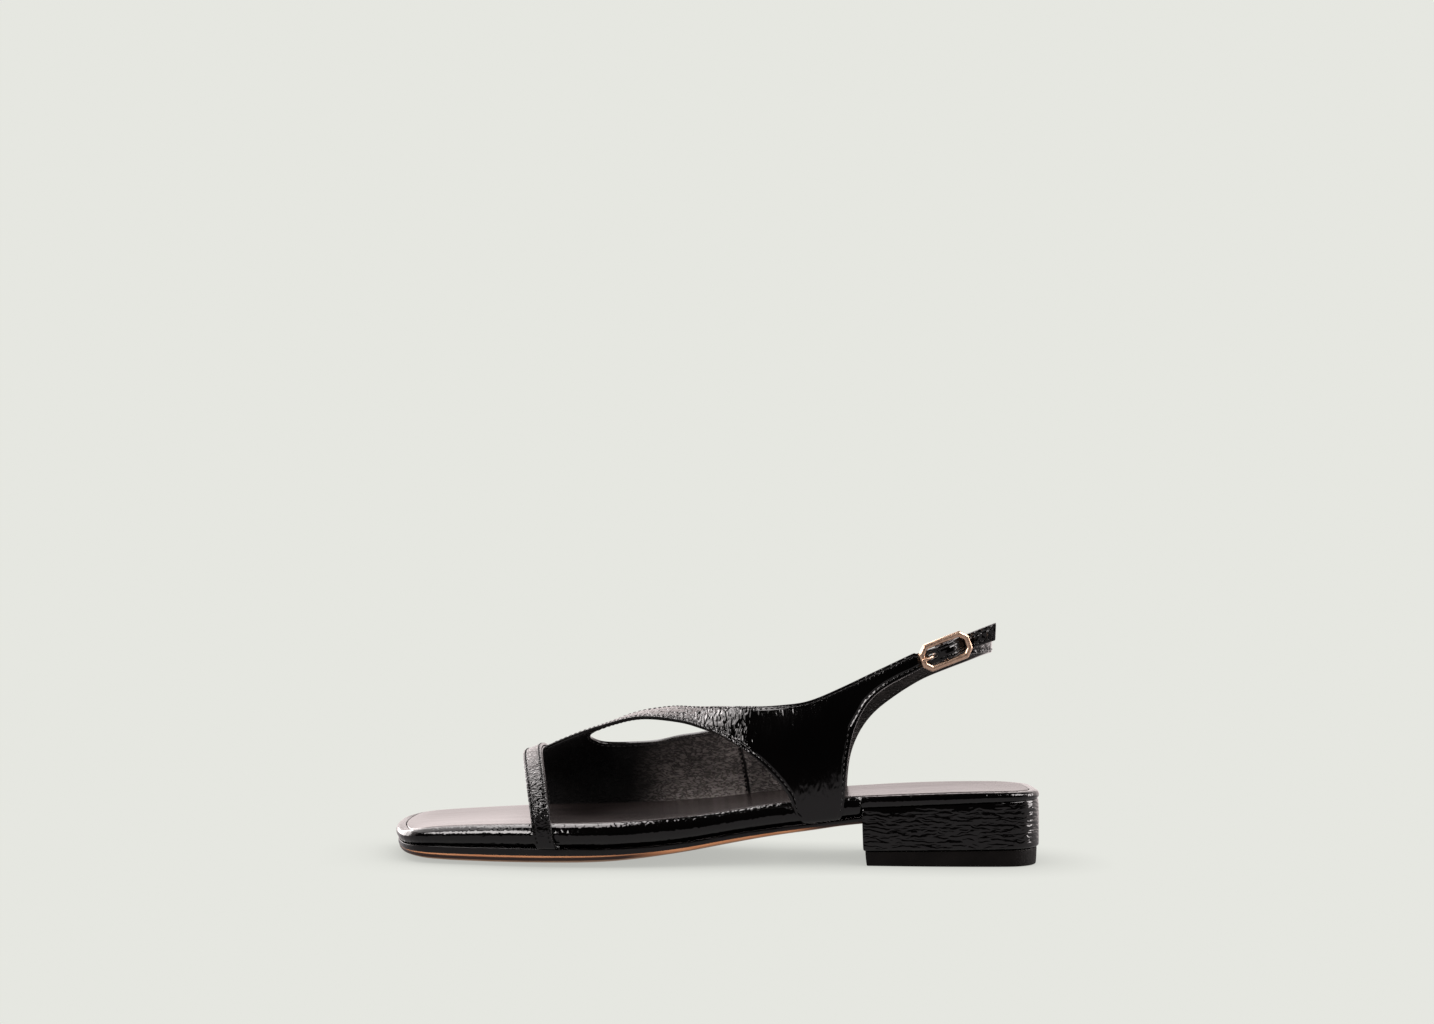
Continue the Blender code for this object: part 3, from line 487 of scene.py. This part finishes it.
# Heel block and its lift
heelShape = {"edge": 0.3, "liftEdge": 0.25, "crease": 10, "join": (0, 0, 0.6)}
heel = copyNode("heel", "heelWrap", [patentHeel])
heelTop = max(patches(heel, heelShape["crease"]), key=lambda patch: patch["normal"].z)
for i in {i for face in heelTop["faces"] for i in heel.data.polygons[face].vertices}:
    heel.data.vertices[i].co += Vector(heelShape["join"]) * mm
dress(heel, heelShape["edge"])
handOver(heel, "heel")
topLift = copyNode("top_lift", "heelLift", [rubber])
dress(topLift, heelShape["liftEdge"])
handOver(topLift, "top_lift")
print("sandal: sole, heel and lift dressed")

# Upper: patent outside, lining inside, turned edges between
upperShape = {"edge": 0.4, "sharp": 50, "axis": Vector((0.0, 0.0013, 0.03))}
upper = copyNode("upper", "upperLeather", [patentUpper, lining, edgeInk])
shells = patches(upper, upperShape["sharp"])
for patch in shells:
    paint(upper, patch, 2)
outer, inner = shells[0], shells[1]


def facesOut(patch):
    total = 0.0
    for i in patch["faces"]:
        face = upper.data.polygons[i]
        away = face.center - upperShape["axis"]
        away.x = 0.0
        total += face.normal.dot(away.normalized()) * face.area
    return total


if facesOut(outer) < facesOut(inner):
    outer, inner = inner, outer
paint(upper, outer, 0)
paint(upper, inner, 1)
outerLines, innerLines = outlines(upper, outer), outlines(upper, inner)
dress(upper, upperShape["edge"], upperShape["sharp"])
handOver(upper, "upper")
print("sandal: upper dressed,", len(upper.data.polygons), "faces")

# Band over the toe strap
bandShape = {"edge": 0.3, "sharp": 50}
band = copyNode("toe_band", "toeBandLeather", [patentBand, edgeInk])
bandShells = patches(band, bandShape["sharp"])
bandOuter = max(bandShells[:2], key=lambda patch: sum(
    band.data.polygons[i].normal.z * band.data.polygons[i].area for i in patch["faces"]))
for patch in bandShells:
    paint(band, patch, 1)
paint(band, bandOuter, 0)
bandLines = outlines(band, bandOuter)
dress(band, bandShape["edge"], bandShape["sharp"])
handOver(band, "toe_band")

# Buckle
buckleShape = {"edge": 0.3, "sharp": 20, "pinEdge": 0.15, "pinSharp": 50}
buckle = copyNode("buckle_frame", "buckleRing", [rose])
dress(buckle, buckleShape["edge"], buckleShape["sharp"], 0)
handOver(buckle, "buckle_frame")
pin = copyNode("buckle_prong", "bucklePin", [rose])
dress(pin, buckleShape["pinEdge"], buckleShape["pinSharp"])
handOver(pin, "buckle_prong")
print("sandal: band and buckle dressed")


# Sewing, in millimetres
sewShape = {"pitch": 2.2, "inset": 1.5, "bandPitch": 1.7, "bandInset": 1.2, "bandLength": 0.72,
            "bandWidth": 1.4, "foot": 1.6, "bandFoot": 1, "clear": 0.7, "offBand": 2.6, "turned": 0.3}


# The faces of one finish
def surfaceOf(piece, finish):
    points = [vertex.co.copy() for vertex in piece.data.vertices]
    faces = [tuple(face.vertices) for face in piece.data.polygons if face.material_index == finish]
    return BVHTree.FromPolygons(points, faces)


# Height of the wall's foot, where it goes in under the footbed and isn't sewn
footLine = np.array([(-80, 8.3), (-50, 8.5), (-25, 9.4), (-9, 11.0), (5, 13.3), (24, 15.8), (40, 17.7),
                     (56, 19.6), (130, 26.0)]) * mm


def overFoot(point, clear):
    return point[2] > np.interp(point[0], footLine[:, 0], footLine[:, 1]) + clear * mm


# Even places along a closed line, moved in from the edge onto the leather
def sewn(line, skin, rim, pitch, inset, keep):
    places = []
    points = dense(line, pitch * mm)
    ahead, behind = np.roll(points, -1, axis=0), np.roll(points, 1, axis=0)
    for point, heading in zip(points, ahead - behind):
        along = Vector(heading).normalized()
        near = skin.find_nearest(Vector(point))
        side = near[1].cross(along).normalized()
        tries = [skin.find_nearest(Vector(point) + side * way * inset * mm) for way in (1, -1)]
        spot = max(tries, key=lambda hit: (hit[0] - Vector(point)).length)
        inward = (spot[0] - Vector(point)).normalized()
        if rim.find(spot[0])[2] < sewShape["clear"] * inset * mm or not keep(spot[0], inward):
            continue
        places.append((spot[0], along, spot[1]))
    return places


threadShape = {"length": 1.5, "width": 0.5, "height": 0.42, "sink": 0.02}
bpy.ops.object.select_all(action="DESELECT")
bpy.ops.mesh.primitive_uv_sphere_add(segments=6, ring_count=5, radius=0.5 * mm)
stitch = bpy.context.object
stitch.name = "stitchPattern"
stitch.rotation_euler = (0, math.pi / 2, 0)
bpy.ops.object.transform_apply(location=True, rotation=True, scale=True)
stitch.scale = (threadShape["length"], threadShape["width"], threadShape["height"])
bpy.ops.object.transform_apply(location=True, rotation=True, scale=True)


def sewRow(name, places, length=1.0, width=1.0, finish=thread):
    bpy.ops.object.select_all(action="DESELECT")
    row = []
    for spot, along, up in places:
        across = up.cross(along).normalized()
        turn = Matrix((along * length, across * width, along.cross(across))).transposed().to_4x4()
        piece = bpy.data.objects.new(name, stitch.data.copy())
        piece.data.transform(Matrix.Translation(spot + up * threadShape["sink"] * mm) @ turn)
        scene.collection.objects.link(piece)
        piece.select_set(True)
        row.append(piece)
    bpy.context.view_layer.objects.active = row[0]
    bpy.ops.object.join()
    sewing = bpy.context.object
    sewing.name = name
    print("sandal:", name, len(places))
    sewing.data.materials.clear()
    sewing.data.materials.append(finish)
    bpy.ops.object.shade_smooth()
    handOver(sewing, None)


outerSkin, innerSkin = surfaceOf(upper, 0), surfaceOf(upper, 1)
outerRim = treeOf(np.vstack([dense(line, rimStep) for line in outerLines]))
innerRim = treeOf(np.vstack([dense(line, rimStep) for line in innerLines]))
bandSkin = surfaceOf(band, 0)
bandRim = treeOf(np.vstack([dense(line, rimStep) for line in bandLines]))


def offBand(spot):
    return bandSkin.find_nearest(spot)[3] > sewShape["offBand"] * mm and overFoot(spot, sewShape["foot"])


sewRow("edgeStitches", sewn(outerLines[0], outerSkin, outerRim, sewShape["pitch"], sewShape["inset"],
                            lambda spot, inward: offBand(spot)))
sewRow("liningStitches", sewn(innerLines[0], innerSkin, innerRim, sewShape["pitch"], sewShape["inset"],
                              lambda spot, inward: offBand(spot)))

for name, way in (("bandFrontStitches", 1), ("bandRearStitches", -1)):
    def onSide(spot, inward):
        return inward.x * way > sewShape["turned"] and overFoot(spot, sewShape["bandFoot"])

    row = sewn(bandLines[0], bandSkin, bandRim, sewShape["bandPitch"], sewShape["bandInset"], onSide)
    sewRow(name, row, sewShape["bandLength"], sewShape["bandWidth"], dullThread)
print("sandal: edges sewn")

# Distance from the edges, for the pressed lines that the stitches lie in
storeDistance(upper, "edgeDistance", outerLines,
              lambda point: offBand(point + Vector((0, 0, sewShape["foot"] * mm))))
storeDistance(band, "edgeDistance", bandLines, lambda point: overFoot(point, sewShape["bandFoot"]))

# Seam of the lining on the inner side: the front piece laps over the rear one
seamShape = {"line": [(9.6, 48.6), (10.8, 40.5), (12.8, 33.0), (14.0, 26.0), (14.7, 21.5)],
             "lap": 0.4, "width": 1.1, "inset": 1.4, "pitch": 1.7, "length": 27, "steps": 40,
             "stitchLength": 0.75, "stitchWidth": 1.4,
             "profile": ((0.0, -0.1), (0.0, 1.0), (0.35, 1.0), (1.0, -0.1))}  # back and lift of the lap


def onInnerSide(x, z):
    hit = innerSkin.ray_cast(Vector((x * mm, 0.0, z * mm)), Vector((0, 1, 0)))
    return hit[0], hit[1]


seamLine = np.array(seamShape["line"])
seamMarks = np.linspace(0, 1, seamShape["steps"])
seamKnots = np.linspace(0, 1, len(seamLine))
seamX = np.interp(seamMarks, seamKnots, seamLine[:, 0])
seamZ = np.interp(seamMarks, seamKnots, seamLine[:, 1])
lapPoints, lapFaces = [], []
for x, z in zip(seamX, seamZ):
    for back, lift in seamShape["profile"]:
        edge, edgeUp = onInnerSide(x - back * seamShape["width"], z)
        lapPoints.append(edge + edgeUp * lift * seamShape["lap"] * mm)
lapFaces += [(3, 2, 1, 0), tuple(range(len(lapPoints) - 4, len(lapPoints)))]  # closed ends
for row in range(0, len(lapPoints) - 4, 4):
    for k, after in ((0, 1), (1, 2), (2, 3), (3, 0)):
        lapFaces.append((row + k, row + after, row + after + 4, row + k + 4))
lapMesh = bpy.data.meshes.new("liningLap")
lapMesh.from_pydata(lapPoints, [], lapFaces)
lap = bpy.data.objects.new("liningLap", lapMesh)
scene.collection.objects.link(lap)
lapMesh.materials.append(edgeInk)
pick(lap)
bpy.ops.object.shade_smooth()
handOver(lap, None)
seamPlaces = []
for k in range(int(seamShape["length"] / seamShape["pitch"])):
    share = (k + 0.5) * seamShape["pitch"] / seamShape["length"]
    x = float(np.interp(share, seamKnots, seamLine[:, 0])) - seamShape["inset"]
    z = float(np.interp(share, seamKnots, seamLine[:, 1]))
    spot, up = onInnerSide(x, z)
    ahead, _ = onInnerSide(x + 0.1, z - 0.5)
    seamPlaces.append((spot, (ahead - spot).normalized(), up))
sewRow("seamStitches", seamPlaces, seamShape["stitchLength"], seamShape["stitchWidth"], dullThread)
bpy.data.objects.remove(stitch, do_unlink=True)
print("sandal: lining seam laid")

# Studio: pale paper, a bright sweep behind the shoe, a dark room on the camera's side and soft lights
studio = {"paper": (0.791, 0.799, 0.752), "sweep": (1.25, 1.11, 1.09), "room": (0.01, 0.0095, 0.0095),
          "floorFront": (0.42, 0.39, 0.395), "shadow": 0.58, "shadowReach": 0.032, "tint": (1.0, 0.95, 0.94),
          "floorSize": 80, "floorDrop": 0.00005, "nearEdge": (-1.4, -0.6), "farEdge": (0.0, 0.3),
          "front": (-0.35, 0.15), "above": (0.45, 0.8)}
softLights = {
    "key": {"centre": (-0.88, -1.3, 0.9), "aim": (-0.88, -1.3, 0.0),
            "size": (0.84, 1.1), "radiance": 14},
    "overToe": {"centre": (-0.84, 0.65, 0.9), "aim": (-0.84, 0.65, 0.0),
                "size": (0.88, 2.3), "radiance": 2.4},
    "overStrap": {"centre": (-0.22, 0.41, 0.9), "aim": (-0.22, 0.41, 0.0),
                  "size": (0.36, 0.98), "radiance": 6},
    "overHeel": {"centre": (0.75, -0.30, 0.75), "aim": (0.0, 0.0, 0.03),
                 "size": (0.5, 0.5), "radiance": 10},
    "heelStrip": {"centre": (1.1, 0.15, 0.3), "aim": (0.1, 0.0, 0.03),
                  "size": (0.3, 0.6), "radiance": 9},
    "toeStrip": {"centre": (-0.95, 0.75, 0.3), "aim": (-0.1, 0.0, 0.02),
                 "size": (1.2, 0.7), "radiance": 5},
}
bpy.ops.object.select_all(action="DESELECT")
bpy.ops.mesh.primitive_plane_add(size=studio["floorSize"], location=(0, 0, -studio["floorDrop"]))
floor = bpy.context.object
floor.name = "floor"
bpy.ops.object.transform_apply(location=True, rotation=True, scale=True)
floorPaper, spot, shader = newMaterial("floorPaper", {"Base Color": rgb(0, 0, 0), "Roughness": 1.0,
                                                      "Specular IOR Level": 0.0, "Emission Strength": 1.0})
near = spot.axis(1).step(*studio["nearEdge"]).blend(rgb(*studio["room"]), rgb(*studio["floorFront"]))
bounced = spot.axis(1).step(*studio["farEdge"]).blend(near, rgb(*studio["sweep"]))
paper = spot.node("ShaderNodeLightPath").blend(bounced, rgb(*studio["paper"]))
# painted contact shadow: ambient occlusion darkens the floor's glow near the shoe
opened = spot.node("ShaderNodeAmbientOcclusion", None, {"Distance": studio["shadowReach"]}, 1)
plug(opened.blend(rgb(*[c * studio["shadow"] for c in studio["paper"]]), paper), shader, "Emission Color")
floor.data.materials.append(floorPaper)

world = bpy.data.worlds.new("studioSurround")
scene.world = world
world.use_nodes = True
tree = world.node_tree
heading = Wire(tree, tree.nodes.new("ShaderNodeTexCoord").outputs["Generated"])
front, above = 1 - heading.axis(1).step(*studio["front"]), heading.axis(2).step(*studio["above"])
lit = (front + above - front * above).blend(rgb(*studio["sweep"]), rgb(*studio["room"]))
surround = heading.node("ShaderNodeLightPath").blend(lit, rgb(*studio["paper"]))
tree.links.new(surround.socket, tree.nodes["Background"].inputs["Color"])

for name, soft in softLights.items():
    toShoe = Vector(soft["aim"]) - Vector(soft["centre"])
    bpy.ops.object.light_add(type="AREA", location=soft["centre"],
                             rotation=toShoe.to_track_quat("-Z", "Y").to_euler())
    lamp = bpy.context.object
    lamp.name = name
    lamp.data.shape = "RECTANGLE"
    lamp.data.size, lamp.data.size_y = soft["size"]
    lamp.data.energy = soft["radiance"] * math.pi * soft["size"][0] * soft["size"][1]
    lamp.data.color = studio["tint"]
    lamp.visible_camera = False

# Camera at the photograph's place
view = {"place": (0.0001, -0.7987, 0.1), "roll": -0.65, "focal": 2045, "horizon": 600,
        "width": 1434, "height": 1024, "sensor": 36}
camera = bpy.data.objects.new("camera", bpy.data.cameras.new("camera"))
scene.collection.objects.link(camera)
camera.location = view["place"]
camera.rotation_euler = (math.pi / 2, math.radians(view["roll"]), 0)
camera.data.sensor_width = view["sensor"]
camera.data.lens = view["focal"] * view["sensor"] / view["width"]
camera.data.shift_y = (view["horizon"] - view["height"] / 2) / view["width"]
camera.data.clip_start = 0.01
scene.camera = camera
scene.view_settings.view_transform = "Standard"
print("sandal: studio set")
